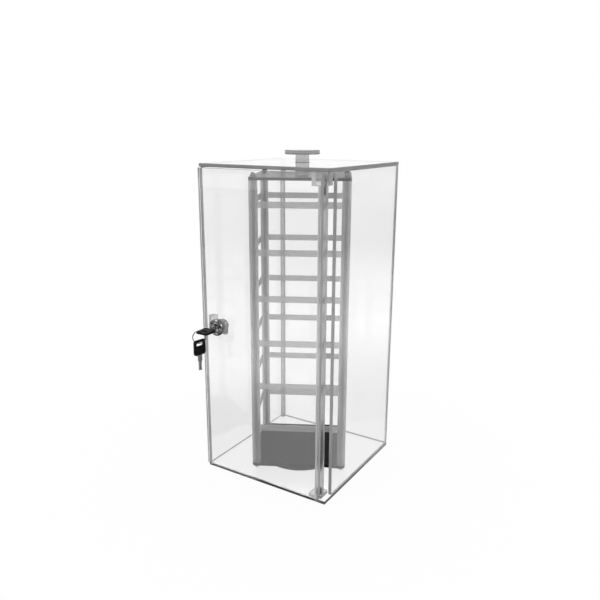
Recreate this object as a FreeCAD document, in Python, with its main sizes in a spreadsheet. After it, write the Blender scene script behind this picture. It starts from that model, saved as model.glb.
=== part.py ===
import FreeCAD, Part
import Sketcher
import os
import re

# Locking countertop case of clear sheet with a revolving tower of card strips inside.
# Millimetres, +Z up. The origin is the centre of the base's underside, the door faces -Y
# and its hinge is at the +X end.

Vector = FreeCAD.Vector
Rotation = FreeCAD.Rotation

SIZES = [
    # Case
    ("case_width", 210, "outside width, along X"),
    ("case_depth", 210, "outside depth, along Y"),
    ("case_height", 468, "base underside to the top plate's upper face"),
    ("base_sheet", 5, "base plate thickness"),
    ("top_sheet", 5, "top plate thickness"),
    ("wall_sheet", 5, "back and side panel thickness"),
    ("right_setback", 18.5, "right panel's front edge behind the plates' front edge"),
    ("corner_bar_side", 6.5, "square bar in the back left corner"),
    # Door and hinge
    ("door_sheet", 5, "door thickness"),
    ("door_proud", 3, "door face in front of the plates' edge"),
    ("door_gap", 0.5, "door back to the left panel's edge"),
    ("door_end_gap", 1, "door to the plates above and below"),
    ("door_tail", 4, "door's hinge end beyond the hinge axis"),
    ("hinge_inset", 13, "hinge axis to the right side of the plates"),
    ("hinge_rod_dia", 12, "rod glued behind the door's hinge end"),
    ("hinge_pin_dia", 4, "pivot pin diameter"),
    ("hinge_pin_grip", 10, "pin length inside the rod"),
    ("lower_pin_reach", 4.5, "lower pin length inside its block"),
    ("upper_pin_reach", 8, "upper pin length inside its block"),
    ("hinge_fit", 0.05, "radial clearance of a pin in its block"),
    ("hinge_end_gap", 0.5, "rod end to block"),
    ("lower_block_height", 5, "pivot block on the base"),
    ("upper_block_height", 18, "pivot block under the top plate, deep enough to lift the door out"),
    ("block_reach", 14, "pivot block from the hinge axis to its far sides"),
    ("block_clear", 0.5, "pivot block inside the door's inner face"),
    # Lock
    ("lock_inset", 26, "lock axis to the left side of the plates"),
    ("lock_height", 233, "lock axis above the base's underside"),
    ("bezel_dia", 25, "lock face diameter"),
    ("bezel_thick", 4, "lock face thickness"),
    ("lock_body_dia", 19, "lock body diameter"),
    ("lock_body_length", 19, "lock body behind its face"),
    ("lock_fit", 0.1, "radial clearance of the lock body in the door"),
    ("lock_nut_dia", 24, "lock nut diameter"),
    ("lock_nut_thick", 4, "lock nut thickness"),
    ("plug_dia", 13, "turning plug diameter"),
    ("plug_fit", 0.05, "radial clearance of the plug in the lock body"),
    ("plug_tail_dia", 8, "plug tail that carries the cam"),
    ("cam_thick", 2.5, "cam thickness"),
    ("cam_width", 10, "cam width"),
    ("cam_reach", 16, "lock axis to the cam's free end"),
    ("cam_gap", 0.5, "cam to the lock body and to the strike"),
    ("cam_screw_dia", 3, "cam screw shank diameter"),
    ("cam_screw_length", 6, "cam screw shank in the plug"),
    ("cam_screw_head_dia", 9, "cam screw head diameter"),
    ("cam_screw_head", 2.2, "cam screw head height"),
    ("strike_height", 28, "strike block height"),
    ("strike_side_gap", 1.3, "strike block to the lock body"),
    ("strike_nut_gap", 1, "strike block behind the lock nut"),
    # Keys
    ("key_head_width", 21, "key head width"),
    ("key_head_length", 23, "key head length"),
    ("key_head_thick", 3.4, "key head thickness"),
    ("key_head_round", 3, "key head corner radius"),
    ("key_slot_length", 13, "ring slot length"),
    ("key_slot_width", 5.2, "ring slot width"),
    ("key_bridge", 4.0, "key head left outside the ring slot"),
    ("key_tang", 10, "blade held inside the head"),
    ("key_neck", 9, "head to the lock's face"),
    ("key_neck_width", 7, "blade width at the neck"),
    ("key_blade_width", 4.6, "blade width inside the lock"),
    ("key_blade_thick", 2, "blade thickness"),
    ("key_blade_length", 23, "blade beyond the head"),
    ("key_notch_dia", 1.6, "round notch along the blade's edge"),
    ("key_notch_pitch", 3, "distance between notches"),
    ("keyway_gap", 0.3, "blade to the keyway on each side"),
    ("ring_dia", 18.6, "key ring diameter to the wire's middle"),
    ("ring_wire_dia", 1.2, "key ring wire diameter"),
    ("ring_shift", 4.8, "ring's place along the slot from its middle"),
    ("ring_turn", 47, "ring's plane about Z"),
    ("ring_gap", 0.6, "ring above the key head that carries it"),
    ("spare_turn", 82, "spare key's flat side about Z"),
    ("spare_gap", 0.9, "spare key's slot above the ring's wire"),
    # Turntable
    ("foot_dia", 120, "turntable foot diameter"),
    ("foot_thick", 4, "turntable foot thickness"),
    ("boss_dia", 16, "turntable centre boss"),
    ("boss_fit", 0.05, "radial clearance of the turning disc on the boss"),
    ("boss_short", 0.6, "boss end below the disc's upper face"),
    ("slip_dia", 100, "slip ring outside diameter"),
    ("slip_bore", 76, "slip ring bore"),
    ("slip_thick", 2.5, "slip ring thickness"),
    ("slip_gap", 0.3, "slip ring to the turning disc"),
    ("disc_dia", 114, "turning disc diameter"),
    ("disc_thick", 5, "turning disc thickness"),
    # Tower
    ("tower_turn", 28, "tower's place about Z"),
    ("tower_headroom", 12, "tower's top plate below the case's top plate"),
    ("plate_thick", 4, "tower plate thickness"),
    ("tower_clear", 5.3, "turning tower's corners to the case's inner faces"),
    ("tube_dia", 12.7, "post tube outside diameter"),
    ("tube_bore", 8, "post tube bore"),
    ("rod_dia", 4, "tie rod diameter"),
    ("rod_fit", 0.25, "radial clearance of a rod in its plates"),
    ("rod_below", 4.5, "rod end below the lower plate"),
    ("rod_above", 4.5, "rod end above the upper plate"),
    ("nut_flats", 7, "nut across flats"),
    ("nut_height", 3.2, "hexagon height of both nuts"),
    ("nut_fit", 0.05, "radial clearance of a nut on its rod"),
    ("first_drop", 33, "upper plate to the first strip's middle"),
    ("level_pitch", 66.7, "strip to strip"),
    ("strip_height", 9, "card strip height"),
    ("strip_thick", 2.6, "card strip thickness"),
    ("strip_glue", 0.05, "glue line between a strip's end and its tube"),
    # Knob
    ("knob_post_dia", 20, "knob post diameter"),
    ("knob_hole_gap", 1, "radial gap of the post in the top plate"),
    ("knob_lift", 11.5, "knob disc above the top plate"),
    ("knob_dia", 51, "knob disc diameter"),
    ("knob_thick", 6, "knob disc thickness"),
    ("knob_edge", 0.8, "knob disc edge chamfer"),
]

LEVELS = 6
CORNERS = {"front_left": (-1, -1), "front_right": (1, -1), "back_right": (1, 1), "back_left": (-1, 1)}
FUNCTIONS = ("sin", "cos", "sqrt", "min")

# Places worked out from the sizes
HALF_WIDTH = "(case_width / 2)"
HALF_DEPTH = "(case_depth / 2)"
WALL_HEIGHT = "(case_height - base_sheet - top_sheet)"
CEILING = "(case_height - top_sheet)"
DOOR_FRONT = f"(-{HALF_DEPTH} - door_proud)"
DOOR_BACK = f"({DOOR_FRONT} + door_sheet)"
DOOR_HEIGHT = f"({WALL_HEIGHT} - 2 * door_end_gap)"
HINGE_X = f"({HALF_WIDTH} - hinge_inset)"
HINGE_Y = f"({DOOR_BACK} + hinge_rod_dia / 2)"
HINGE_LOW = "(base_sheet + lower_block_height + hinge_end_gap)"
HINGE_HIGH = f"({CEILING} - upper_block_height - hinge_end_gap)"
LOCK_X = f"(lock_inset - {HALF_WIDTH})"
LOCK_FACE = f"({DOOR_FRONT} - bezel_thick)"
LOCK_REAR = f"({DOOR_FRONT} + lock_body_length)"
CAM_Y = f"({LOCK_REAR} + cam_gap)"
KEY_Y = f"({LOCK_FACE} - key_neck)"
RING_Y = f"({KEY_Y} - key_head_length + key_bridge / 2)"
RING_X = f"({LOCK_X} - ring_shift)"
RING_INNER = "(ring_dia / 2 - ring_wire_dia / 2)"
RING_Z = f"(lock_height + key_head_thick / 2 + ring_gap - {RING_INNER})"
SPARE_Z = f"({RING_Z} - {RING_INNER} + spare_gap - key_head_length + key_bridge)"
DISC_LOW = "(base_sheet + foot_thick + slip_thick + slip_gap)"
LOWER_PLATE = f"({DISC_LOW} + disc_thick)"
POST_LOW = f"({LOWER_PLATE} + plate_thick)"
UPPER_PLATE = f"({CEILING} - tower_headroom - plate_thick)"
TOWER_TOP = f"({UPPER_PLATE} + plate_thick)"
KNOB_UNDER = "(case_height + knob_lift)"
POST_REACH = "(min(case_width; case_depth) / 2 - wall_sheet - tower_clear - tube_dia / 2)"
HALF_SPACING = f"({POST_REACH} / sqrt(2))"
PLATE_SIDE = f"(2 * {HALF_SPACING} + tube_dia)"
STRIP_MIDDLE = f"({PLATE_SIDE} / 2 - strip_thick / 2)"
STRIP_HALF = f"({HALF_SPACING} - sqrt(strip_thick * (tube_dia - strip_thick)) - strip_glue)"

doc = FreeCAD.newDocument("EarringCase")
sheet = doc.addObject("Spreadsheet::Sheet", "sizes")
for row, (alias, value, meaning) in enumerate(SIZES, start=1):
    sheet.set(f"A{row}", meaning)
    sheet.set(f"B{row}", str(value))
    sheet.setAlias(f"B{row}", alias)
doc.recompute()


def cells(text):
    """The expression with each size's word pointing at its cell."""
    return re.sub(r"[a-z_]+", lambda w: w.group() if w.group() in FUNCTIONS else "sizes." + w.group(), text)


def number(text):
    """The present value of an expression."""
    return float(sheet.evalExpression(cells(text)))


def bind(item, **sizes):
    """Tie properties to expressions."""
    for name, text in sizes.items():
        item.setExpression(name, cells(text))


def place(item, x, y, z, rotation=None):
    """Put an object at a bound point, with an optional fixed rotation."""
    if rotation is not None:
        item.Placement = FreeCAD.Placement(Vector(), rotation)
    for axis, text in zip("xyz", (x, y, z)):
        item.setExpression(f".Placement.Base.{axis}", cells(text))
    return item


def tower_point(u, v):
    """World X and Y of a point given square to the tower."""
    x = f"({u}) * cos(tower_turn) - ({v}) * sin(tower_turn)"
    y = f"({u}) * sin(tower_turn) + ({v}) * cos(tower_turn)"
    return x, y


def place_in_tower(item, u, v, z):
    """Put an object at a bound point of the tower and turn it with the tower."""
    x, y = tower_point(u, v)
    place(item, x, y, z, Rotation(Vector(0, 0, 1), number("tower_turn")))
    item.setExpression(".Placement.Rotation.Angle", cells("tower_turn"))
    return item


def box(name, length, width, height):
    item = doc.addObject("Part::Box", name)
    bind(item, Length=length, Width=width, Height=height)
    return item


def cylinder(name, diameter, height):
    item = doc.addObject("Part::Cylinder", name)
    bind(item, Radius=f"({diameter}) / 2", Height=height)
    return item


def hexagon(name, flats, height):
    item = doc.addObject("Part::Prism", name)
    item.Polygon = 6
    bind(item, Circumradius=f"({flats}) / sqrt(3)", Height=height)
    return item


def cut(name, base, tool):
    item = doc.addObject("Part::Cut", name)
    item.Base = base
    item.Tool = tool
    return item


def fuse(name, base, tool):
    item = doc.addObject("Part::Fuse", name)
    item.Base = base
    item.Tool = tool
    return item


def group(name, members):
    item = doc.addObject("Part::Compound", name)
    item.Links = members
    return item


def plane_of(body, role):
    return next(feature for feature in body.Origin.OriginFeatures if feature.Role == role)


def outline(body, name, role, points):
    """A closed sketch through bound points. A coordinate of "0" lies on the sketch's axis."""
    sketch = body.newObject("Sketcher::SketchObject", name)
    sketch.AttachmentSupport = [(plane_of(body, role), "")]
    sketch.MapMode = "FlatFace"
    corners = [Vector(number(x), number(y), 0) for x, y in points]
    for start, end in zip(corners, corners[1:] + corners[:1]):
        sketch.addGeometry(Part.LineSegment(start, end), False)
    for line in range(len(points)):
        following = (line + 1) % len(points)
        sketch.addConstraint(Sketcher.Constraint("Coincident", line, 2, following, 1))
    for line, point in enumerate(points):
        for kind, axis, text in (("DistanceX", -2, point[0]), ("DistanceY", -1, point[1])):
            if text == "0":
                sketch.addConstraint(Sketcher.Constraint("PointOnObject", line, 1, axis))
            else:
                datum = sketch.addConstraint(Sketcher.Constraint(kind, -1, 1, line, 1, number(text)))
                sketch.setExpression(f"Constraints[{datum}]", cells(text))
    sketch.Visibility = False
    return sketch


def turned(name, points):
    """A body turned about its own Z axis from a profile of radius and height."""
    body = doc.addObject("PartDesign::Body", name)
    sketch = outline(body, name + "_profile", "XZ_Plane", points)
    turn = body.newObject("PartDesign::Revolution", name + "_turn")
    turn.Profile = sketch
    turn.ReferenceAxis = (sketch, ["V_Axis"])
    turn.Angle = 360
    doc.recompute()
    return body


def rounded_plate(name, width, length, thick, radius):
    """A plate centred on its own X and Y with rounded upright corners, standing on its own Z = 0."""
    body = doc.addObject("PartDesign::Body", name)
    x, y = f"({width}) / 2", f"({length}) / 2"
    corners = [(f"-{x}", f"-{y}"), (x, f"-{y}"), (x, y), (f"-{x}", y)]
    pad = body.newObject("PartDesign::Pad", name + "_pad")
    pad.Profile = outline(body, name + "_outline", "XY_Plane", corners)
    bind(pad, Length=thick)
    doc.recompute()
    round_off(body, name, pad, radius, lambda middle: True)
    return body


def round_off(body, name, base, radius, chosen):
    """Round the upright edges of a padded body whose middle the test picks."""
    upright = []
    for index, edge in enumerate(base.Shape.Edges, start=1):
        low, high = edge.Vertexes[0].Point, edge.Vertexes[-1].Point
        if abs(low.x - high.x) + abs(low.y - high.y) < 1e-6 and chosen((low + high) / 2):
            upright.append(f"Edge{index}")
    fillet = body.newObject("PartDesign::Fillet", name + "_corners")
    fillet.Base = (base, upright)
    bind(fillet, Radius=radius)
    doc.recompute()


def drill(body, name, points, radius, through):
    """Round holes up through a body at bound points of its own XY plane."""
    sketch = body.newObject("Sketcher::SketchObject", name)
    sketch.AttachmentSupport = [(plane_of(body, "XY_Plane"), "")]
    sketch.MapMode = "FlatFace"
    for index, (x, y) in enumerate(points):
        centre = Vector(number(x), number(y), 0)
        sketch.addGeometry(Part.Circle(centre, Vector(0, 0, 1), number(radius)), False)
        size = sketch.addConstraint(Sketcher.Constraint("Radius", index, number(radius)))
        sketch.setExpression(f"Constraints[{size}]", cells(radius))
        for kind, axis, text in (("DistanceX", -2, x), ("DistanceY", -1, y)):
            if text == "0":
                sketch.addConstraint(Sketcher.Constraint("PointOnObject", index, 3, axis))
            else:
                datum = sketch.addConstraint(Sketcher.Constraint(kind, -1, 1, index, 3, number(text)))
                sketch.setExpression(f"Constraints[{datum}]", cells(text))
    pocket = body.newObject("PartDesign::Pocket", name + "_cut")
    pocket.Profile = sketch
    pocket.Reversed = True
    bind(pocket, Length=through)
    before = body.Shape.Volume
    doc.recompute()
    if body.Shape.Volume >= before:
        raise RuntimeError(f"{name} cuts nothing")


def make_case():
    """Base, three fixed panels, a bar in their left corner and the top plate with the knob's hole."""
    base = box("base_plate", "case_width", "case_depth", "base_sheet")
    place(base, f"-{HALF_WIDTH}", f"-{HALF_DEPTH}", "0")
    back = box("back_panel", "case_width", "wall_sheet", WALL_HEIGHT)
    place(back, f"-{HALF_WIDTH}", f"{HALF_DEPTH} - wall_sheet", "base_sheet")
    left_front = f"({DOOR_BACK} + door_gap)"
    left = box("left_panel", "wall_sheet", f"{HALF_DEPTH} - wall_sheet - {left_front}", WALL_HEIGHT)
    place(left, f"-{HALF_WIDTH}", left_front, "base_sheet")
    right = box("right_panel", "wall_sheet", "case_depth - wall_sheet - right_setback", WALL_HEIGHT)
    place(right, f"{HALF_WIDTH} - wall_sheet", f"right_setback - {HALF_DEPTH}", "base_sheet")
    bar = box("corner_bar", "corner_bar_side", "corner_bar_side", WALL_HEIGHT)
    bar_front = f"{HALF_DEPTH} - wall_sheet - corner_bar_side"
    place(bar, f"wall_sheet - {HALF_WIDTH}", bar_front, "base_sheet")
    sheet_blank = box("top_blank", "case_width", "case_depth", "top_sheet")
    place(sheet_blank, f"-{HALF_WIDTH}", f"-{HALF_DEPTH}", CEILING)
    hole = cylinder("knob_hole", "knob_post_dia + 2 * knob_hole_gap", "top_sheet")
    place(hole, "0", "0", CEILING)
    cut("top_plate", sheet_blank, hole)


def make_pivot_block(name, z, height):
    """A corner block whose front right corner is round about the pin, so that the door clears it."""
    near = "(hinge_rod_dia / 2 - block_clear)"
    body = doc.addObject("PartDesign::Body", name)
    far = "block_reach"
    corners = [(f"-{far}", f"-{near}"), (near, f"-{near}"), (near, far), (f"-{far}", far)]
    pad = body.newObject("PartDesign::Pad", name + "_pad")
    pad.Profile = outline(body, name + "_outline", "XY_Plane", corners)
    bind(pad, Length=height)
    doc.recompute()
    round_off(body, name, pad, f"{near} - block_clear", lambda middle: middle.x > 0 and middle.y < 0)
    drill(body, name + "_bore", [("0", "0")], "hinge_pin_dia / 2 + hinge_fit", height)
    place(body, HINGE_X, HINGE_Y, z)


def make_door():
    """Door sheet drilled for the lock, with the hinge rod behind its end and a pin in each rod end."""
    length = f"{HALF_WIDTH} + {HINGE_X} + door_tail"
    blank = box("door_blank", length, "door_sheet", DOOR_HEIGHT)
    place(blank, f"-{HALF_WIDTH}", DOOR_FRONT, "base_sheet + door_end_gap")
    hole = cylinder("door_lock_hole", "lock_body_dia + 2 * lock_fit", "door_sheet")
    place(hole, LOCK_X, DOOR_FRONT, "lock_height", Rotation(Vector(1, 0, 0), -90))
    cut("door_panel", blank, hole)
    rod = cylinder("hinge_rod_blank", "hinge_rod_dia", f"{HINGE_HIGH} - {HINGE_LOW}")
    place(rod, HINGE_X, HINGE_Y, HINGE_LOW)
    lower = cylinder("lower_pin", "hinge_pin_dia", "lower_pin_reach + hinge_end_gap + hinge_pin_grip")
    place(lower, HINGE_X, HINGE_Y, f"{HINGE_LOW} - hinge_end_gap - lower_pin_reach")
    upper = cylinder("upper_pin", "hinge_pin_dia", "upper_pin_reach + hinge_end_gap + hinge_pin_grip")
    place(upper, HINGE_X, HINGE_Y, f"{HINGE_HIGH} - hinge_pin_grip")
    cut("hinge_rod", rod, group("hinge_pins", [lower, upper]))


def make_lock():
    """Lock body, nut, plug with its keyway, cam, cam screw and the strike block on the left panel."""
    inward = Rotation(Vector(1, 0, 0), -90)
    bore = "(plug_dia / 2 + plug_fit)"
    whole = "(bezel_thick + lock_body_length)"
    body = turned("lock_body", [
        (bore, "0"),
        ("bezel_dia / 2", "0"),
        ("bezel_dia / 2", "bezel_thick"),
        ("lock_body_dia / 2", "bezel_thick"),
        ("lock_body_dia / 2", whole),
        (bore, whole),
    ])
    place(body, LOCK_X, LOCK_FACE, "lock_height", inward)

    nut = cylinder("lock_nut_blank", "lock_nut_dia", "lock_nut_thick")
    place(nut, LOCK_X, DOOR_BACK, "lock_height", inward)
    thread = cylinder("lock_nut_hole", "lock_body_dia + 2 * plug_fit", "lock_nut_thick")
    place(thread, LOCK_X, DOOR_BACK, "lock_height", inward)
    cut("lock_nut", nut, thread)

    tail_end = "(bezel_thick + lock_body_length + cam_gap + cam_thick)"
    plug = turned("plug_blank", [
        ("0", "0"),
        ("plug_dia / 2", "0"),
        ("plug_dia / 2", whole),
        ("plug_tail_dia / 2", whole),
        ("plug_tail_dia / 2", tail_end),
        ("0", tail_end),
    ])
    place(plug, LOCK_X, LOCK_FACE, "lock_height", inward)
    slot_width = "(key_blade_width + 2 * keyway_gap)"
    slot_height = "(key_blade_thick + 2 * keyway_gap)"
    keyway = box("keyway", slot_width, "key_blade_length - key_neck + 2 * keyway_gap", slot_height)
    place(keyway, f"{LOCK_X} - {slot_width} / 2", LOCK_FACE, f"lock_height - {slot_height} / 2")
    shank = cylinder("cam_screw_shank", "cam_screw_dia", "cam_screw_length")
    place(shank, LOCK_X, f"{LOCK_FACE} + {tail_end} - cam_screw_length", "lock_height", inward)
    cut("lock_plug", cut("slotted_plug", plug, keyway), shank)
    head = cylinder("cam_screw_top", "cam_screw_head_dia", "cam_screw_head")
    place(head, LOCK_X, f"{LOCK_FACE} + {tail_end}", "lock_height", inward)
    fuse("cam_screw", shank, head)

    tip_z = "lock_height - cam_reach + cam_width / 2"
    blade = box("cam_blade", "cam_width", "cam_thick", "cam_reach - cam_width / 2")
    place(blade, f"{LOCK_X} - cam_width / 2", CAM_Y, tip_z)
    crown = cylinder("cam_crown", "cam_width", "cam_thick")
    place(crown, LOCK_X, CAM_Y, "lock_height", inward)
    tip = cylinder("cam_tip", "cam_width", "cam_thick")
    place(tip, LOCK_X, CAM_Y, tip_z, inward)
    eye = cylinder("cam_eye", "plug_tail_dia", "cam_thick")
    place(eye, LOCK_X, CAM_Y, "lock_height", inward)
    cut("lock_cam", fuse("cam_plate", fuse("cam_strip", blade, crown), tip), eye)

    strike_front = f"({DOOR_BACK} + lock_nut_thick + strike_nut_gap)"
    strike_left = f"(wall_sheet - {HALF_WIDTH})"
    strike_right = f"({LOCK_X} - lock_body_dia / 2 - strike_side_gap)"
    strike_depth = f"{CAM_Y} - cam_gap - {strike_front}"
    strike = box("strike_block", f"{strike_right} - {strike_left}", strike_depth, "strike_height")
    place(strike, strike_left, strike_front, "lock_height - strike_height / 2")


def make_key(prefix, x, y, z, rotation):
    """A key lying flat: its blade points along +Y from the end of its head, which lies on -Y."""
    def local(item, u, v, w):
        """Put a piece at a point of the key's own frame."""
        move = rotation.multVec
        axes = [move(Vector(1, 0, 0)), move(Vector(0, 1, 0)), move(Vector(0, 0, 1))]
        bound = []
        for start, part in zip((x, y, z), range(3)):
            terms = [f"({text}) * ({axis[part]:.9f})" for text, axis in zip((u, v, w), axes)]
            bound.append(f"{start} + " + " + ".join(terms))
        return place(item, bound[0], bound[1], bound[2], rotation)

    half = "key_blade_thick / 2"
    neck = box(prefix + "_neck", "key_neck_width", "key_tang + key_neck", "key_blade_thick")
    local(neck, "-key_neck_width / 2", "-key_tang", f"-{half}")
    run = box(prefix + "_run", "key_blade_width", "key_blade_length - key_neck", "key_blade_thick")
    local(run, "-key_blade_width / 2", "key_neck", f"-{half}")
    notches = []
    for index in range(3):
        notch = cylinder(f"{prefix}_notch_{index + 1}", "key_notch_dia", "key_blade_thick")
        along = f"key_neck + key_notch_dia + {index + 1} * key_notch_pitch"
        notches.append(local(notch, "key_blade_width / 2", along, f"-{half}"))
    blade = cut(prefix + "_blade", fuse(prefix + "_strip", neck, run), group(prefix + "_notches", notches))

    length = "key_head_length"
    head = rounded_plate(prefix + "_bow", "key_head_width", length, "key_head_thick", "key_head_round")
    local(head, "0", f"-{length} / 2", "-key_head_thick / 2")
    straight = "(key_slot_length - key_slot_width)"
    middle = "(key_bridge + key_slot_width / 2 - key_head_length)"
    bar = box(prefix + "_slot_bar", straight, "key_slot_width", "key_head_thick")
    local(bar, f"-{straight} / 2", f"{middle} - key_slot_width / 2", "-key_head_thick / 2")
    ends = []
    for index, side in enumerate((-1, 1), start=1):
        end = cylinder(f"{prefix}_slot_end_{index}", "key_slot_width", "key_head_thick")
        ends.append(local(end, f"{side} * {straight} / 2", middle, "-key_head_thick / 2"))
    slot = doc.addObject("Part::MultiFuse", prefix + "_slot")
    slot.Shapes = [bar] + ends
    cut(prefix + "_head", cut(prefix + "_slotted", head, slot), neck)
    return blade


def make_keys():
    """The key in the lock, the ring through its slot and the spare key hanging from the ring."""
    make_key("key", LOCK_X, KEY_Y, "lock_height", Rotation())
    ring = doc.addObject("Part::Torus", "key_ring")
    bind(ring, Radius1="ring_dia / 2", Radius2="ring_wire_dia / 2")
    upright = Rotation(Vector(0, 0, 1), number("ring_turn")) * Rotation(Vector(1, 0, 0), 90)
    place(ring, RING_X, RING_Y, RING_Z, upright)
    hanging = Rotation(Vector(0, 0, 1), number("spare_turn")) * Rotation(Vector(1, 0, 0), -90)
    make_key("spare_key", RING_X, RING_Y, SPARE_Z, hanging)


def make_turntable():
    """Foot with its centre boss, slip ring and the disc that turns on them."""
    boss_top = "(foot_thick + slip_thick + slip_gap + disc_thick - boss_short)"
    foot = turned("turntable_foot", [
        ("0", "0"),
        ("foot_dia / 2", "0"),
        ("foot_dia / 2", "foot_thick"),
        ("boss_dia / 2", "foot_thick"),
        ("boss_dia / 2", boss_top),
        ("0", boss_top),
    ])
    place(foot, "0", "0", "base_sheet")
    slip = place(cylinder("slip_blank", "slip_dia", "slip_thick"), "0", "0", "base_sheet + foot_thick")
    bore = place(cylinder("slip_hole", "slip_bore", "slip_thick"), "0", "0", "base_sheet + foot_thick")
    cut("slip_ring", slip, bore)
    disc = place(cylinder("disc_blank", "disc_dia", "disc_thick"), "0", "0", DISC_LOW)
    hole = place(cylinder("disc_hole", "boss_dia + 2 * boss_fit", "disc_thick"), "0", "0", DISC_LOW)
    cut("turntable_disc", disc, hole)


def make_tower_plates():
    """Lower and upper plate, flush with the tubes and each with four rod holes."""
    holes = [(f"{u} * {HALF_SPACING}", f"{v} * {HALF_SPACING}") for u, v in CORNERS.values()]
    for name, z in (("tower_lower_plate", LOWER_PLATE), ("tower_upper_plate", UPPER_PLATE)):
        plate = rounded_plate(name, PLATE_SIDE, PLATE_SIDE, "plate_thick", "tube_dia / 2")
        drill(plate, name + "_holes", holes, "rod_dia / 2 + rod_fit", "plate_thick")
        place_in_tower(plate, "0", "0", z)


def make_posts():
    """A clear tube round a tie rod at each corner, with a cap nut on top and a plain nut below."""
    rods, caps, nuts = [], [], []
    tube_length = f"{UPPER_PLATE} - {POST_LOW}"
    rod_low = f"({LOWER_PLATE} - rod_below)"
    rod_length = f"{TOWER_TOP} + rod_above - {rod_low}"
    for corner, (u, v) in CORNERS.items():
        def stand(item, z):
            return place_in_tower(item, f"{u} * {HALF_SPACING}", f"{v} * {HALF_SPACING}", z)

        tube = stand(cylinder("tube_blank_" + corner, "tube_dia", tube_length), POST_LOW)
        bore = stand(cylinder("tube_hole_" + corner, "tube_bore", tube_length), POST_LOW)
        cut("post_tube_" + corner, tube, bore)
        rods.append(stand(cylinder("rod_" + corner, "rod_dia", rod_length), rod_low))
        thread = stand(cylinder("thread_" + corner, "rod_dia + 2 * nut_fit", rod_length), rod_low)
        nut = stand(hexagon("nut_blank_" + corner, "nut_flats", "nut_height"), f"{LOWER_PLATE} - nut_height")
        nuts.append(cut("nut_" + corner, nut, thread))
        skirt = stand(hexagon("cap_skirt_" + corner, "nut_flats", "nut_height"), TOWER_TOP)
        dome = doc.addObject("Part::Sphere", "cap_dome_" + corner)
        dome.Angle1 = 0
        bind(dome, Radius="nut_flats / 2")
        stand(dome, f"{TOWER_TOP} + nut_height")
        caps.append(cut("cap_" + corner, fuse("cap_blank_" + corner, skirt, dome), thread))
    group("tie_rods", rods)
    group("cap_nuts", caps)
    group("lower_nuts", nuts)


def make_strips():
    """Four card strips at each level, counted from the top, their outer faces flush with the tubes."""
    for level in range(LEVELS):
        low = f"{UPPER_PLATE} - first_drop - {level} * level_pitch - strip_height / 2"
        for side, sign in (("front", -1), ("back", 1)):
            strip = box(f"card_strip_{level + 1}_{side}", f"2 * {STRIP_HALF}", "strip_thick", "strip_height")
            inner = f"{sign} * {STRIP_MIDDLE} - strip_thick / 2"
            place_in_tower(strip, f"-{STRIP_HALF}", inner, low)
        for side, sign in (("left", -1), ("right", 1)):
            strip = box(f"card_strip_{level + 1}_{side}", "strip_thick", f"2 * {STRIP_HALF}", "strip_height")
            inner = f"{sign} * {STRIP_MIDDLE} - strip_thick / 2"
            place_in_tower(strip, inner, f"-{STRIP_HALF}", low)


def make_knob():
    """Post that stands on the tower and comes out through the top plate, with a disc on its end."""
    post = cylinder("knob_post", "knob_post_dia", f"{KNOB_UNDER} - {TOWER_TOP}")
    place(post, "0", "0", TOWER_TOP)
    disc = turned("knob_disc", [
        ("0", "0"),
        ("knob_dia / 2 - knob_edge", "0"),
        ("knob_dia / 2", "knob_edge"),
        ("knob_dia / 2", "knob_thick - knob_edge"),
        ("knob_dia / 2 - knob_edge", "knob_thick"),
        ("0", "knob_thick"),
    ])
    place(disc, "0", "0", KNOB_UNDER)


def nodes():
    """The finished pieces, by name."""
    names = ["base_plate", "back_panel", "left_panel", "right_panel", "top_plate"]
    names += ["corner_bar", "pivot_block_lower", "pivot_block_upper", "strike_block"]
    names += ["door_panel", "hinge_rod", "hinge_pins", "lock_body", "lock_nut"]
    names += ["lock_plug", "lock_cam", "cam_screw"]
    names += ["key_blade", "key_head", "key_ring", "spare_key_blade", "spare_key_head"]
    names += ["turntable_foot", "slip_ring", "turntable_disc"]
    names += ["tower_lower_plate", "tower_upper_plate", "tie_rods", "cap_nuts", "lower_nuts"]
    names += ["post_tube_" + corner for corner in CORNERS]
    for level in range(LEVELS):
        names += [f"card_strip_{level + 1}_{side}" for side in ("front", "right", "back", "left")]
    names += ["knob_post", "knob_disc"]
    return names


make_case()
make_pivot_block("pivot_block_lower", "base_sheet", "lower_block_height")
make_pivot_block("pivot_block_upper", f"{CEILING} - upper_block_height", "upper_block_height")
make_door()
make_lock()
make_keys()
make_turntable()
make_tower_plates()
make_posts()
make_strips()
make_knob()
doc.recompute()

for item in doc.Objects:
    if "Invalid" in item.State or "Error" in item.State:
        raise RuntimeError(f"{item.Name} failed: {item.State}")
for name in nodes():
    shape = doc.getObject(name).Shape
    if shape.isNull() or not shape.isValid():
        raise RuntimeError(f"{name} has no valid shape")

os.makedirs("parts", exist_ok=True)
for name in nodes():
    doc.getObject(name).Shape.exportStep(f"parts/{name}.step")
print(len(nodes()), "nodes written")
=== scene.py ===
import math

import bpy
import numpy as np
from mathutils import Matrix, Vector


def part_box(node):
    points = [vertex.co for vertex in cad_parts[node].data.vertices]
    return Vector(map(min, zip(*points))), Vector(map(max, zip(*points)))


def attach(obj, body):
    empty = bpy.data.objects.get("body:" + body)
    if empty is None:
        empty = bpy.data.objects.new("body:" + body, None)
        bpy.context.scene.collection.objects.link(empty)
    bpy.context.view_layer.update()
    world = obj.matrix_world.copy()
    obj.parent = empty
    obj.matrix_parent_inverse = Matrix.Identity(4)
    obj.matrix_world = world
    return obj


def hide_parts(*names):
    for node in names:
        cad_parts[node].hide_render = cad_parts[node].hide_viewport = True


# Looks of a clear locking countertop case with a revolving tower of card strips.
# Metres, +Z up, the door faces -Y and its hinge is at the +X end.

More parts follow.
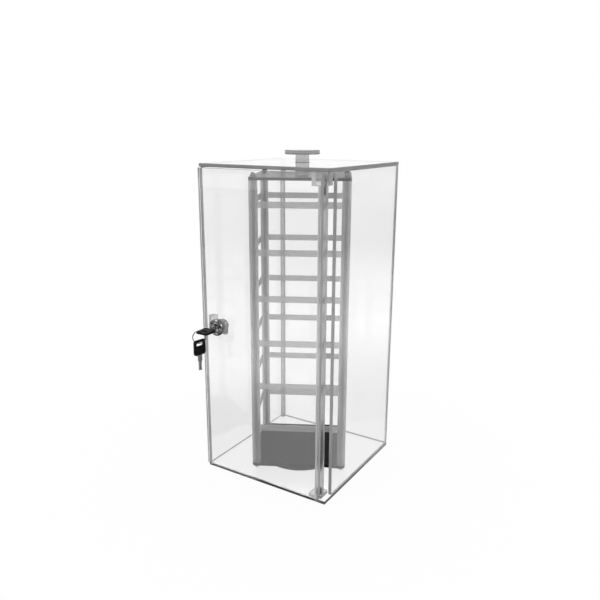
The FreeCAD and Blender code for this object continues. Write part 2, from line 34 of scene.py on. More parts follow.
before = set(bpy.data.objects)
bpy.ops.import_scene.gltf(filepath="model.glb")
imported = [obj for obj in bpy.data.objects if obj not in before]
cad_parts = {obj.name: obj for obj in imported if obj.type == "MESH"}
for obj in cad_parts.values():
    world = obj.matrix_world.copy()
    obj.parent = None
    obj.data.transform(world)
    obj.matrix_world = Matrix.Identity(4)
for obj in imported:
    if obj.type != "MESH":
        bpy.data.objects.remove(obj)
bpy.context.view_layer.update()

MM = 0.001
CORNERS = ("front_left", "front_right", "back_right", "back_left")
SIDES = ("front", "right", "back", "left")
LEVELS = 6
TOWER_TURN = math.radians(28)
RING_TURN = math.radians(47)
SPARE_TURN = math.radians(82)
JOINT_GAP = 0.03 * MM
SHEET_EDGE = 0.35 * MM
POLISHED_EDGE = 0.9 * MM
BLOCK_EDGE = 0.5 * MM
RUNNING_GAP = 0.05 * MM
KNOB_HOLE = 11 * MM
LOCK_HOLE = 9.6 * MM
BARREL_RADIUS = 9.5 * MM
BOSS_RADIUS = 8 * MM
TUBE_RADIUS = 6.35 * MM
TUBE_BORE = 4 * MM
ROUND = 96
WIDE_ROUND = 128


# Surfaces

def span(node_name):
    """Lowest and highest corner of a CAD node and its middle, as arrays."""
    low, high = (np.array(corner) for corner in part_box(node_name))
    return low, high, (low + high) / 2


def joint_span(node_name):
    """Lowest and highest corner of a CAD node, drawn in by the joint gap all round."""
    low, high, _ = span(node_name)
    return low + JOINT_GAP, high - JOINT_GAP


def quads(rows, columns, wrap):
    """Quad corners of a grid of points, row by row. With wrap the last row joins the first.

    Each row is a closed ring, so the last column always joins the first.
    """
    last = rows if wrap else rows - 1
    row, column = np.meshgrid(np.arange(last), np.arange(columns), indexing="ij")
    up, along = (row + 1) % rows, (column + 1) % columns
    corners = [row * columns + column, row * columns + along,
               up * columns + along, up * columns + column]
    return np.stack(corners, -1).reshape(-1, 4)


def faces_inward(points, faces):
    """True where the quads wind inwards: the sum of their corner tetrahedra's volumes is negative."""
    a, b, c, d = (points[faces[:, i]] - points.mean(0) for i in range(4))
    return np.einsum("ij,ij->", a, np.cross(b, c)) + np.einsum("ij,ij->", a, np.cross(c, d)) < 0


def piece(name, rings, materials, body, nodes,
          wrap=False, flat_rows=(), finishes=None, copies=None):
    """A closed mesh from rings of points, shaped (rows, columns, 3), each row joined to the next.

    The first and last ring are closed with a flat face, or joined to each other with wrap. flat_rows are
    the rows of faces shaded flat, and copies repeats the shape at each offset. finishes gives each row's
    material, or each face's from its middle. The mesh rides on a body and stands for its CAD nodes.
    """
    rows, columns = rings.shape[:2]
    grid = quads(rows, columns, wrap)
    if faces_inward(rings.reshape(-1, 3), grid):
        rings = rings[:, ::-1]
    band = np.arange(len(grid)) // columns
    smooth = (~np.isin(band, flat_rows)).tolist()
    points = rings.reshape(-1, 3)
    if callable(finishes):
        finish = finishes(points[grid].mean(1)).tolist()
    else:
        finish = (np.zeros(len(grid), int) if finishes is None else np.asarray(finishes)[band]).tolist()
    faces = grid.tolist()
    if not wrap:
        faces += [list(range(columns))[::-1], list(range((rows - 1) * columns, rows * columns))]
        smooth += [False, False]
        finish += [0, 0]
    offsets = np.zeros((1, 3)) if copies is None else np.asarray(copies, float)
    every = (points[None] + offsets[:, None]).reshape(-1, 3)
    starts = [index * len(points) for index in range(len(offsets))]
    all_faces = [[corner + start for corner in face] for start in starts for face in faces]

    mesh = bpy.data.meshes.new(name)
    mesh.from_pydata(every.tolist(), [], all_faces)
    mesh.polygons.foreach_set("use_smooth", smooth * len(offsets))
    for material in materials if isinstance(materials, tuple) else (materials,):
        mesh.materials.append(material)
    mesh.polygons.foreach_set("material_index", finish * len(offsets))
    mesh.update()
    item = bpy.data.objects.new(name, mesh)
    bpy.context.scene.collection.objects.link(item)
    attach(item, body)
    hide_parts(*nodes)
    return item


def edge_profile(thick, edge, steps=4, hold=0.06 * MM):
    """Inset and height across a sheet's thickness: a quarter round, the flat wall, a quarter round.

    The wall starts and ends with a narrow band, so that the shading of the rounds stays out of it.
    """
    turn = np.linspace(0, math.pi / 2, steps + 1)
    inset = np.append(edge * (1 - np.sin(turn)), 0)
    rise = np.append(edge * (1 - np.cos(turn)), edge + hold)
    return np.concatenate([inset, inset[::-1]]), np.concatenate([rise, (thick - rise)[::-1]])


def box_outline(width, length, corner, steps=6):
    """Points round a rectangle about its middle, its four corners quarter circles."""
    turn = np.linspace(0, math.pi / 2, steps + 1)
    starts = np.arange(4)[:, None] * math.pi / 2
    signs = np.array([[1, 1], [-1, 1], [-1, -1], [1, -1]])
    centres = signs * np.array([width / 2 - corner, length / 2 - corner])
    x = centres[:, :1] + corner * np.cos(starts + turn)
    y = centres[:, 1:] + corner * np.sin(starts + turn)
    return np.stack([x.ravel(), y.ravel()], -1)


def raised(flat, height):
    """Rings in a plane lifted to one height each."""
    return np.concatenate([flat, np.broadcast_to(height[:, None, None], flat.shape[:2] + (1,))], -1)


def sheet_rings(width, length, thick, edge, corner):
    """Rings of a rounded sheet standing on Z = 0: its outline drawn in along the edge profile."""
    inset, height = edge_profile(thick, edge)
    sharpest = 0.2 * edge
    flat = [box_outline(width - 2 * i, length - 2 * i, max(corner - i, sharpest)) for i in inset]
    return raised(np.stack(flat), height)


def laid(rings, axis):
    """Turn rings so that their thickness lies along X, Y or Z."""
    order = {"x": (2, 0, 1), "y": (1, 2, 0), "z": (0, 1, 2)}[axis]
    return rings[..., order]


def sheet_piece(name, node_name, axis, materials, edge=SHEET_EDGE):
    """A rounded sheet of the case in the space of a CAD node, less a thin joint gap all round.

    Its broad faces take the first material, its edges the second and its glued lower edge the third.
    Where there are fewer, the last one goes on.
    """
    low, high = joint_span(node_name)
    spans = {"x": (1, 2, 0), "y": (2, 0, 1), "z": (0, 1, 2)}[axis]
    width, length, thick = (high - low)[list(spans)]
    rings = laid(sheet_rings(width, length, thick, edge, 2 * edge), axis)
    start = (low + high) / 2
    start["xyz".index(axis)] = low["xyz".index(axis)]

    def finishes(middles):
        glued = middles[:, 2] < low[2] + edge
        return np.minimum(np.where(glued, 2, 1), len(materials) - 1)

    return piece(name, rings + start, materials, "case", [node_name], finishes=finishes)


def outline_reach(outline, centre, angles):
    """Distance from a centre to a closed outline at given angles.

    It is read off between close points along the outline's sides.
    """
    points_per_side = 24
    share = np.linspace(0, 1, points_per_side, endpoint=False)[:, None]
    sides = np.roll(outline, -1, axis=0) - outline
    offset = (outline[:, None] + sides[:, None] * share).reshape(-1, 2) - centre
    bearing = np.arctan2(offset[:, 1], offset[:, 0])
    order = np.argsort(bearing)
    distance = np.hypot(offset[order, 0], offset[order, 1])
    return np.interp(angles, bearing[order], distance, period=2 * math.pi)


def pierced_rings(low, high, hole_centre, hole_radius, thick, edge, count=128):
    """Closed rings of a rectangular sheet with a round hole: up the outer edge, then down the hole.

    Rays from the hole's middle, with the four corners among them, give the outer points. They are
    held inside the rectangle drawn in by the edge profile, and the hole opens by the same profile.
    Returned with the rows of its two broad faces and each row's material, 1 on the edges.
    """
    corners = np.array([[low[0], low[1]], [high[0], low[1]], [high[0], high[1]], [low[0], high[1]]])
    away = corners - hole_centre
    exact = np.arctan2(away[:, 1], away[:, 0])
    even = np.linspace(-math.pi, math.pi, count, endpoint=False)
    near = np.abs((even[:, None] - exact[None] + math.pi) % (2 * math.pi) - math.pi).min(1)
    too_near = 0.01
    angles = np.sort(np.concatenate([even[near > too_near], exact]))
    heading = np.stack([np.cos(angles), np.sin(angles)], -1)
    with np.errstate(divide="ignore"):
        to_high = np.where(heading > 0, (high - hole_centre) / heading, np.inf)
        to_low = np.where(heading < 0, (low - hole_centre) / heading, np.inf)
    rim = hole_centre + heading * np.minimum(to_high, to_low).min(1)[:, None]
    inset, height = edge_profile(thick, edge)
    outer = np.stack([np.clip(rim, low + i, high - i) for i in inset])
    inner = np.stack([hole_centre + heading * (hole_radius + i) for i in inset[::-1]])
    rings = raised(np.concatenate([outer, inner]), np.concatenate([height, height[::-1]]))
    broad = [len(outer) - 1, len(rings) - 1]
    finishes = np.ones(len(rings), int)
    finishes[broad] = 0
    return rings, broad, finishes


def turned_rings(profile, segments=ROUND):
    """Rings of a profile of radius and height turned about Z."""
    profile = np.asarray(profile, float)
    turn = np.linspace(0, 2 * math.pi, segments, endpoint=False)
    x = profile[:, :1] * np.cos(turn)
    y = profile[:, :1] * np.sin(turn)
    return np.stack([x, y, np.broadcast_to(profile[:, 1:], x.shape)], -1)


def rod_profile(radius, length, edge):
    """Radius and height of a plain rod with rounded ends."""
    inset, height = edge_profile(length, edge)
    return np.stack([radius - inset, height], -1)


def bored_profile(radius, bore, length, edge):
    """Radius and height round a tube's wall, up its outside and down its bore, with rounded ends."""
    inset, height = edge_profile(length, edge)
    outside = np.stack([radius - inset, height], -1)
    inside = np.stack([bore + inset[::-1], height[::-1]], -1)
    return np.concatenate([outside, inside])


def placed(rings, rotation, position):
    """Rings turned by a matrix and moved to a place."""
    return rings @ np.array(rotation).T + np.asarray(position)


def hexagon_reach(flats, angles):
    """Distance from a hexagon's middle to its side at given angles, a flat facing angle 0."""
    sixth = math.pi / 3
    return flats / 2 / np.cos((angles + sixth / 2) % sixth - sixth / 2)


def smooth_step(value):
    """0 below 0, 1 above 1, and an S-curve between."""
    held = np.clip(value, 0, 1)
    return held * held * (3 - 2 * held)


def ripple(turns):
    """A cosine wave that climbs from 0 to 1 and falls back once each turn."""
    return 0.5 - 0.5 * np.cos(2 * math.pi * turns)


# Materials

WHITE = (1, 1, 1, 1)

# Clear plastic: how it bends light, the tint of its body and what it lets through of a lamp.
PLASTIC_INDEX = 1.49
BODY_TINT = (0.46, 0.47, 0.48, 1)
LAMP_PASS = (0.9, 0.9, 0.9, 1)
HAZE_SCALE = 40

# Values of the noise over which a sheen goes from smooth to rough, and a plate's painted glints from dark
# to bright.
NOISE_DETAIL = 3.0
NOISE_STRETCH = (0.3, 0.7)
GLINT_STRETCH = (0.39, 0.63)

GRAIN_DEEP = 0.2 * MM
GRAIN_FINE = 0.1 * MM


def shader(name):
    """A new material with its Principled shader and output."""
    material = bpy.data.materials.new(name)
    material.use_nodes = True
    tree = material.node_tree
    principled = next(item for item in tree.nodes if item.type == "BSDF_PRINCIPLED")
    output = next(item for item in tree.nodes if item.type == "OUTPUT_MATERIAL")
    return material, tree, principled, output


def node(tree, kind, values=None, **settings):
    """A node with its settings and unlinked input values."""
    made = tree.nodes.new(kind)
    for key, value in settings.items():
        setattr(made, key, value)
    for key, value in (values or {}).items():
        made.inputs[key].default_value = value
    return made


def rescaled(tree, value, given, wanted, **settings):
    """A value moved from one range to another and held inside it."""
    ends = {"From Min": given[0], "From Max": given[1], "To Min": wanted[0], "To Max": wanted[1]}
    made = node(tree, "ShaderNodeMapRange", ends, **settings)
    tree.links.new(value, made.inputs["Value"])
    return made.outputs["Result"]


def grey_ramp(tree, stops):
    """A colour ramp of grey levels, each stop a place and a level."""
    ramp = node(tree, "ShaderNodeValToRGB")
    while len(ramp.color_ramp.elements) < len(stops):
        ramp.color_ramp.elements.new(0.5)
    for stop, (place, level) in zip(ramp.color_ramp.elements, stops):
        stop.position = place
        stop.color = (level, level, level, 1)
    return ramp


def mixed(tree, factor, first, second):
    """A mix of two shaders, all of the second where the factor is 1."""
    made = node(tree, "ShaderNodeMixShader")
    for index, socket in enumerate((factor, first, second)):
        tree.links.new(socket, made.inputs[index])
    return made.outputs["Shader"]


def uneven(tree, principled, scale, rough):
    """Roughness that wanders over a range with noise on Object coordinates."""
    where = node(tree, "ShaderNodeTexCoord")
    noise = node(tree, "ShaderNodeTexNoise", {"Scale": scale, "Detail": NOISE_DETAIL})
    tree.links.new(where.outputs["Object"], noise.inputs["Vector"])
    wandering = rescaled(tree, noise.outputs["Fac"], NOISE_STRETCH, rough)
    tree.links.new(wandering, principled.inputs["Roughness"])
    return noise


def dented(tree, principled, noise, strength, distance):
    """A faint bump from a noise."""
    bump = node(tree, "ShaderNodeBump", {"Strength": strength, "Distance": distance})
    tree.links.new(noise.outputs["Fac"], bump.inputs["Height"])
    tree.links.new(bump.outputs["Normal"], principled.inputs["Normal"])


def clear_plastic(name, tint, density, bloom, haze=None, index=PLASTIC_INDEX):
    """Clear cast plastic: refracting, lets lamps through, and darker the longer the way through it.

    bloom is the share of light that its surface scatters, and index how strongly it bends and mirrors
    light. haze is the range of its roughness. Without it the plastic is polished.
    """
    material, tree, principled, output = shader(name)
    principled.inputs["Base Color"].default_value = (tint, tint, tint, 1)
    principled.inputs["Transmission Weight"].default_value = 1 - bloom
    principled.inputs["IOR"].default_value = index
    principled.inputs["Roughness"].default_value = 0.0
    if haze:
        uneven(tree, principled, HAZE_SCALE, haze)
    shadow = node(tree, "ShaderNodeLightPath").outputs["Is Shadow Ray"]
    through = node(tree, "ShaderNodeBsdfTransparent", {"Color": LAMP_PASS})
    surface = mixed(tree, shadow, principled.outputs["BSDF"], through.outputs["BSDF"])
    tree.links.new(surface, output.inputs["Surface"])
    body = node(tree, "ShaderNodeVolumeAbsorption", {"Color": BODY_TINT, "Density": density})
    tree.links.new(body.outputs["Volume"], output.inputs["Volume"])
    return material


def solid_plastic(name, colour, rough, scale, grain=0.0, gloss=0.5):
    """Opaque plastic with an uneven sheen and, where it has a grain, a fine dented surface."""
    material, tree, principled, _ = shader(name)
    principled.inputs["Base Color"].default_value = (*colour, 1)
    principled.inputs["IOR"].default_value = PLASTIC_INDEX
    principled.inputs["Specular IOR Level"].default_value = gloss
    noise = uneven(tree, principled, scale, rough)
    if grain:
        dented(tree, principled, noise, grain, GRAIN_DEEP)
    return material


def metal(name, colour, rough, scale, grain):
    """Plated or plain metal with faint wear in its sheen."""
    material, tree, principled, _ = shader(name)
    principled.inputs["Base Color"].default_value = (*colour, 1)
    principled.inputs["Metallic"].default_value = 1.0
    noise = uneven(tree, principled, scale, rough)
    dented(tree, principled, noise, grain, GRAIN_FINE)
    return material


def painted_glint_plate(name, dark, bright, rough, scale, grain):
    """Plated metal with painted glints: noise on Object coordinates moves its colour from dark to bright
    in patches, the bright ones painted highlights.
    """
    material, tree, principled, _ = shader(name)
    principled.inputs["Metallic"].default_value = 1.0
    noise = uneven(tree, principled, scale, rough)
    dented(tree, principled, noise, grain, GRAIN_DEEP)
    painted_glints = grey_ramp(tree, tuple(zip(GLINT_STRETCH, (dark, bright))))
    tree.links.new(noise.outputs["Fac"], painted_glints.inputs["Fac"])
    tree.links.new(painted_glints.outputs["Color"], principled.inputs["Base Color"])
    return material


clear_sheet = clear_plastic("clear sheet", tint=0.994, density=3, bloom=0.022)
door_clear = clear_plastic("door clear", tint=0.994, density=3, bloom=0.085)
base_clear = clear_plastic("base clear", tint=0.994, density=3, bloom=0.022, index=1.2)
sheet_edge = clear_plastic("sheet edge", tint=0.8, density=6, bloom=0.3, haze=(0.1, 0.22))
top_edge = clear_plastic("top edge", tint=0.4, density=6, bloom=0.5, haze=(0.1, 0.22))
base_edge = clear_plastic("base edge", tint=0.36, density=6, bloom=0.08, haze=(0.02, 0.08))
glued_seam = clear_plastic("glued seam", tint=0.3, density=20, bloom=0.8, haze=(0.2, 0.35))
clear_block = clear_plastic("clear block", tint=0.76, density=12, bloom=0.12, haze=(0.08, 0.16))
clear_bar = clear_plastic("clear bar", tint=0.6, density=18, bloom=0.12, haze=(0.14, 0.26))
corner_clear = clear_plastic("corner clear", tint=0.56, density=18, bloom=0.25, haze=(0.12, 0.25))
clear_strip = clear_plastic("clear strip", tint=0.5, density=16, bloom=0.36, haze=(0.01, 0.04))
clear_tube = clear_plastic("clear tube", tint=0.52, density=18, bloom=0.2, haze=(0.0, 0.03))
clear_knob = clear_plastic("clear knob", tint=0.66, density=30, bloom=0.03, haze=(0.0, 0.02))

black_sheet = solid_plastic("black sheet", (0.004, 0.004, 0.004), (0.16, 0.26), scale=25, gloss=0.03)
black_moulding = solid_plastic("black moulding", (0.008, 0.008, 0.008), (0.3, 0.45),
                               scale=900, grain=0.25, gloss=0.25)
slip_plastic = solid_plastic("slip plastic", (0.8, 0.8, 0.78), (0.35, 0.5), scale=500, grain=0.1)
key_grip = solid_plastic("key grip", (0.003, 0.003, 0.003), (0.3, 0.42),
                         scale=1200, grain=0.2, gloss=0.1)

plain_steel = metal("plain steel", (0.32, 0.32, 0.33), (0.25, 0.4), scale=350, grain=0.15)
bright_plate = metal("bright plate", (0.15, 0.15, 0.155), (0.03, 0.1), scale=250, grain=0.04)
rod_steel = metal("rod steel", (0.03, 0.03, 0.031), (0.25, 0.4), scale=350, grain=0.15)
lock_plate = metal("lock plate", (0.17, 0.17, 0.175), (0.08, 0.18), scale=400, grain=0.12)
ring_wire = metal("ring wire", (0.08, 0.08, 0.085), (0.12, 0.25), scale=500, grain=0.1)
key_steel = metal("key steel", (0.28, 0.28, 0.285), (0.2, 0.34), scale=600, grain=0.15)
# The lock face's bright and dark patches are painted glints laid over the real sheen of the plating.
lock_face = painted_glint_plate("lock face", 0.005, 0.55, (0.06, 0.16), scale=600, grain=0.35)


def paint(names, material):
    """Give CAD nodes that stay in view a material."""
    for name in names:
        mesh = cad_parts[name].data
        mesh.materials.clear()
        mesh.materials.append(material)


# Case

def make_case():
    """Base, three panels, pierced top plate, corner bar, the hinge's two blocks and the lock's strike."""
    sheet_piece("base_sheet", "base_plate", "z", (base_clear, base_edge))
    standing = (clear_sheet, sheet_edge, glued_seam)
    for place, axis in (("back", "y"), ("left", "x"), ("right", "x")):
        sheet_piece(place + "_sheet", place + "_panel", axis, standing, POLISHED_EDGE)
    low, high = joint_span("top_plate")
    thick = high[2] - low[2]
    rings, broad, finishes = pierced_rings(low[:2], high[:2], np.zeros(2), KNOB_HOLE, thick, POLISHED_EDGE)
    rings = rings + np.array([0, 0, low[2]])
    piece("top_sheet", rings, (clear_sheet, top_edge), "case", ["top_plate"],
          wrap=True, flat_rows=broad, finishes=finishes)
    sheet_piece("corner_bar_clear", "corner_bar", "z", (corner_clear,), BLOCK_EDGE)
    for place in ("lower", "upper"):
        node_name = "pivot_block_" + place
        sheet_piece(node_name + "_clear", node_name, "z", (clear_block,), BLOCK_EDGE)
    sheet_piece("strike_clear", "strike_block", "y", (clear_block,), BLOCK_EDGE)


# Door, lock and keys

def make_door():
    """The pierced door sheet and the round bar glued behind its hinge end."""
    low, high = joint_span("door_panel")
    axis = span("lock_body")[2]
    upright = [2, 0]
    thick = high[1] - low[1]
    rings, broad, finishes = pierced_rings(low[upright], high[upright], axis[upright], LOCK_HOLE,
                                           thick, SHEET_EDGE)
    rings = laid(rings, "y") + np.array([0, low[1], 0])
    piece("door_sheet", rings, (door_clear, sheet_edge), "door", ["door_panel"],
          wrap=True, flat_rows=broad, finishes=finishes)

    low, high, middle = span("hinge_rod")
    profile = rod_profile((high[0] - low[0]) / 2 - JOINT_GAP, high[2] - low[2], BLOCK_EDGE)
    rod = turned_rings(profile) + np.array([middle[0], middle[1], low[2]])
    piece("hinge_bar", rod, clear_bar, "door", ["hinge_rod"])


def make_lock():
    """Cam lock: a domed face on a threaded barrel, held by a knurled round nut.

    The face is a quarter ellipse in profile with a turned groove. The thread is a helix: the radius
    falls and rises once each pitch, and its phase follows the angle about the axis. The nut's knurl is
    a cosine of the angle taken off its outside.
    """
    low, high, middle = span("lock_body")
    length = high[1] - low[1]
    face, thick, lip, rim = 12.5 * MM, 4 * MM, 9.2 * MM, 2.4 * MM
    bevel, relief = 0.15 * MM, 0.1 * MM
    pitch, depth, samples, dome_steps = 1.5 * MM, 0.4 * MM, 64, 9
    start, run_out, tip = thick + 5.6 * MM, 0.9 * MM, 0.7 * MM
    bore, mouth, mouth_deep, mouth_rise = 6.55 * MM, 7 * MM, 0.6 * MM, 0.1 * MM
    groove = np.array([(7.3, 0), (7.5, 0), (7.6, 0.3), (8.2, 0.3), (8.3, 0), (8.5, 0)]) * MM
    turn = np.linspace(math.pi / 2, 0, dome_steps)
    dome = np.stack([lip + (face - lip) * np.cos(turn), rim - rim * np.sin(turn)], -1)
    shoulder = np.array([[face, thick - bevel], [face - bevel, thick], [BARREL_RADIUS + relief, thick]])
    neck = np.array([[BARREL_RADIUS, thick + relief], [BARREL_RADIUS, start - relief]])
    run = np.linspace(start, length - run_out, samples)
    screw = np.stack([np.full(samples, BARREL_RADIUS), run], -1)
    tail = np.array([[BARREL_RADIUS - tip, length], [bore, length],
                     [bore, mouth_deep], [mouth, mouth_rise]])
    rings = turned_rings(np.concatenate([groove, dome, shoulder, neck, screw, tail]))
    first = len(groove) + len(dome) + len(shoulder) + len(neck)
    thread = ripple(run[:, None] / pitch - np.arange(ROUND) / ROUND)
    fade_in = smooth_step((run - start) / pitch)[:, None]
    rings[first:first + samples, :, :2] *= (1 - depth * fade_in * thread / BARREL_RADIUS)[..., None]
    rings = laid(rings, "y") + np.array([middle[0], low[1], middle[2]])
    piece("lock_barrel", rings, lock_face, "door", ["lock_body"], wrap=True)

    low, high, middle = span("lock_nut")
    ridges, ridge_depth, edge = 32, 0.3 * MM, 0.9 * MM
    segments = 6 * ridges
    profile = bored_profile((high[2] - low[2]) / 2, BARREL_RADIUS + RUNNING_GAP, high[1] - low[1], edge)
    rings = turned_rings(profile, segments)
    knurl = ripple(ridges * np.arange(segments) / segments)
    rings[:len(profile) // 2, :, :2] *= (1 - ridge_depth * knurl / profile[0, 0])[:, None]
    rings = laid(rings, "y") + np.array([middle[0], low[1], middle[2]])
    piece("lock_ring_nut", rings, lock_plate, "door", ["lock_nut"], wrap=True)


def key_bow(name, node_name, body, rotation, at):
    """A moulded key head: a rounded plate with a ring slot and a shallow panel in each face.

    Rays from the slot's middle run to the slot and to the outline. Between them the height is flat,
    sunk a little where there is room for the panel, and both edges are quarter rounds.
    """
    width, length, thick, corner = 21 * MM, 23 * MM, 3.4 * MM, 4 * MM
    slot_length, slot_width, bridge = 13 * MM, 5.2 * MM, 4 * MM
    hair = 0.001 * MM
    slot_corner = slot_width / 2 - hair
    round_out, round_in = 0.95 * MM, 0.6 * MM
    sink_depth, least_room, room_fade = 0.3 * MM, 6 * MM, 4 * MM
    outer_slope, inner_slope = 6, 5
    rays, corner_steps, round_steps, panel_steps = 144, 24, 6, 12

    middle = np.array([0, bridge + slot_width / 2 - length])
    angles = np.linspace(-math.pi, math.pi, rays, endpoint=False)
    heading = np.stack([np.cos(angles), np.sin(angles)], -1)
    outline = box_outline(width, length, corner, corner_steps) + np.array([0, -length / 2])
    eye = box_outline(slot_length, slot_width, slot_corner, corner_steps)
    outer = outline_reach(outline, middle, angles)
    inner = outline_reach(eye, np.zeros(2), angles)

    turn = np.linspace(0, math.pi / 2, round_steps)[:, None]
    share = np.linspace(0, 1, panel_steps)[1:-1, None]
    roomy = smooth_step((outer - inner - least_room) / room_fade)
    sink = sink_depth * roomy * smooth_step(share * outer_slope) * smooth_step((1 - share) * inner_slope)
    rim_reach = outer - round_out * (1 - np.cos(turn))
    rim_level = np.broadcast_to(thick / 2 - round_out * (1 - np.sin(turn)), rim_reach.shape)
    eye_reach = inner + round_in * (1 - np.cos(turn))
    eye_level = np.broadcast_to(thick / 2 - round_in * (1 - np.sin(turn)), eye_reach.shape)
    panel_reach = (outer - round_out) + (inner + round_in - outer + round_out) * share
    reach = np.concatenate([rim_reach, panel_reach, eye_reach[::-1]])
    level = np.concatenate([rim_level, thick / 2 - sink, eye_level[::-1]])
    flat = middle + heading * reach[..., None]
    upper = np.concatenate([flat, level[..., None]], -1)
    lower = upper[::-1] * np.array([1, 1, -1])
    rings = placed(np.concatenate([upper, lower]), rotation, at)
    piece(name, rings, key_grip, body, [node_name], wrap=True)


def make_keys():
    """Two moulded key heads and the split ring that joins them.

    The ring is a flat wire, an ellipse in section, carried twice round a circle. It climbs from one turn
    to the next by an S-curve, so that the two turns lie side by side in the space of the CAD ring.
    """
    _, high, middle = span("key_head")
    key_bow("key_bow", "key_head", "key", np.eye(3), (middle[0], high[1], middle[2]))
    low, _, middle = span("spare_key_head")
    hanging = Matrix.Rotation(SPARE_TURN, 3, "Z") @ Matrix.Rotation(-math.pi / 2, 3, "X")
    key_bow("spare_key_bow", "spare_key_head", "spare_key", hanging, (middle[0], middle[1], low[2]))

    radius, wire_half, wire_deep = 9.3 * MM, 0.3 * MM, 0.58 * MM
    wire_start, wire_short = 2.2, 0.3
    climb_before, climb_long = 0.9, 1.2
    path_steps, section_steps = 200, 12
    path = np.linspace(0, 4 * math.pi - wire_short, path_steps)
    climb = wire_half * (2 * smooth_step((path - 2 * math.pi + climb_before) / climb_long) - 1)
    section = np.linspace(0, 2 * math.pi, section_steps, endpoint=False)
    reach = radius + wire_deep * np.cos(section)
    x = np.cos(path + wire_start)[:, None] * reach
    y = np.sin(path + wire_start)[:, None] * reach
    z = climb[:, None] + wire_half * np.sin(section)
    upright = Matrix.Rotation(RING_TURN, 3, "Z") @ Matrix.Rotation(math.pi / 2, 3, "X")
    rings = placed(np.stack([x, y, z], -1), upright, span("key_ring")[2])
    piece("split_ring", rings, ring_wire, "key_ring", ["key_ring"])


# Turntable and tower

def make_turntable():
    """Foot with a sole let into the base, its centre boss, and the turning disc with rounded edges.

    Each is a profile of radius and height turned about Z.
    """
    low, high, _ = span("turntable_foot")
    radius, top, plate = high[0], high[2] - low[2], 4 * MM
    sole, sunk, lift = 50 * MM, 0.12 * MM, 0.5 * MM
    edge, fillet, bevel = 0.8 * MM, 0.2 * MM, 0.6 * MM
    round_steps = 6
    turn = np.linspace(0, math.pi / 2, round_steps)
    foot = np.array([[sole - fillet, -sunk], [sole, -sunk], [sole, lift]])
    under = np.stack([radius - edge + edge * np.sin(turn), lift + edge * (1 - np.cos(turn))], -1)
    over = np.stack([radius - edge + edge * np.cos(turn), plate - edge + edge * np.sin(turn)], -1)
    boss = np.array([[BOSS_RADIUS + fillet, plate], [BOSS_RADIUS, plate + fillet],
                     [BOSS_RADIUS, top - bevel], [BOSS_RADIUS - bevel, top]])
    profile = np.concatenate([foot, under, over, boss])
    rings = turned_rings(profile, WIDE_ROUND) + np.array([0, 0, low[2]])
    flat = [0, 1, 2, 2 + len(under) + len(over)]
    piece("turntable_base", rings, black_moulding, "case", ["turntable_foot"],
          flat_rows=flat)

    low, high, _ = span("turntable_disc")
    profile = bored_profile(high[0], BOSS_RADIUS + RUNNING_GAP, high[2] - low[2], edge)
    rings = turned_rings(profile, WIDE_ROUND) + np.array([0, 0, low[2]])
    piece("turntable_top", rings, black_moulding, "tower", ["turntable_disc"], wrap=True)


def plate_side(name):
    """Side of a square tower plate from its box at the tower's turn, its corners being round."""
    low, high, _ = span(name)
    spread = math.cos(TOWER_TURN) + math.sin(TOWER_TURN)
    return (high[0] - low[0] - 2 * TUBE_RADIUS) / spread + 2 * TUBE_RADIUS


def make_plates():
    """Two polished black plates with rounded corners, turned with the tower."""
    edge = 0.4 * MM
    turn = Matrix.Rotation(TOWER_TURN, 3, "Z")
    for name in ("tower_lower_plate", "tower_upper_plate"):
        low, high, _ = span(name)
        side = plate_side(name)
        rings = sheet_rings(side, side, high[2] - low[2], edge, TUBE_RADIUS)
        rings = placed(rings, turn, (0, 0, low[2]))
        piece(name + "_polished", rings, black_sheet, "tower", [name])


def make_posts():
    """Clear tubes at the tower's corners, each under a domed cap nut.

    A cap nut's rings are a hexagon with its corners taken off by circles, then a dome's circles.
    """
    segments, tube_edge = 72, 0.3 * MM
    places = []
    for corner in CORNERS:
        name = "post_tube_" + corner
        low, high, middle = span(name)
        profile = bored_profile(TUBE_RADIUS, TUBE_BORE, high[2] - low[2], tube_edge)
        rings = turned_rings(profile, segments) + np.array([middle[0], middle[1], low[2]])
        places.append(middle[:2])
        piece(name + "_clear", rings, clear_tube, "tower", [name], wrap=True)

    low, high, _ = span("cap_nuts")
    flats, skirt, step = 7 * MM, 3.2 * MM, 0.02 * MM
    limits = np.array([[3.7, 0], [4.05, 0.3], [4.05, 2.7], [3.6, 3.1], [3.3, 3.2]]) * MM
    dome_radius, dome_end, dome_steps = 0.94 * flats / 2, 0.97 * math.pi / 2, 10
    dome_height = high[2] - low[2] - skirt - step
    around = np.arange(segments) * 2 * math.pi / segments
    hexagon = hexagon_reach(flats, around - TOWER_TURN - math.pi / 6)
    climb = np.linspace(0, dome_end, dome_steps)
    dome = np.broadcast_to((dome_radius * np.cos(climb))[:, None], (dome_steps, segments))
    reach = np.concatenate([np.minimum(hexagon, limits[:, :1]), dome])
    level = np.concatenate([limits[:, 1], skirt + step + dome_height * np.sin(climb)])
    nut = raised(np.stack([reach * np.cos(around), reach * np.sin(around)], -1), level)
    spots = [(x, y, low[2]) for x, y in places]
    piece("domed_nuts", nut, bright_plate, "tower", ["cap_nuts"],
          flat_rows=[0, 1, 2], copies=spots)


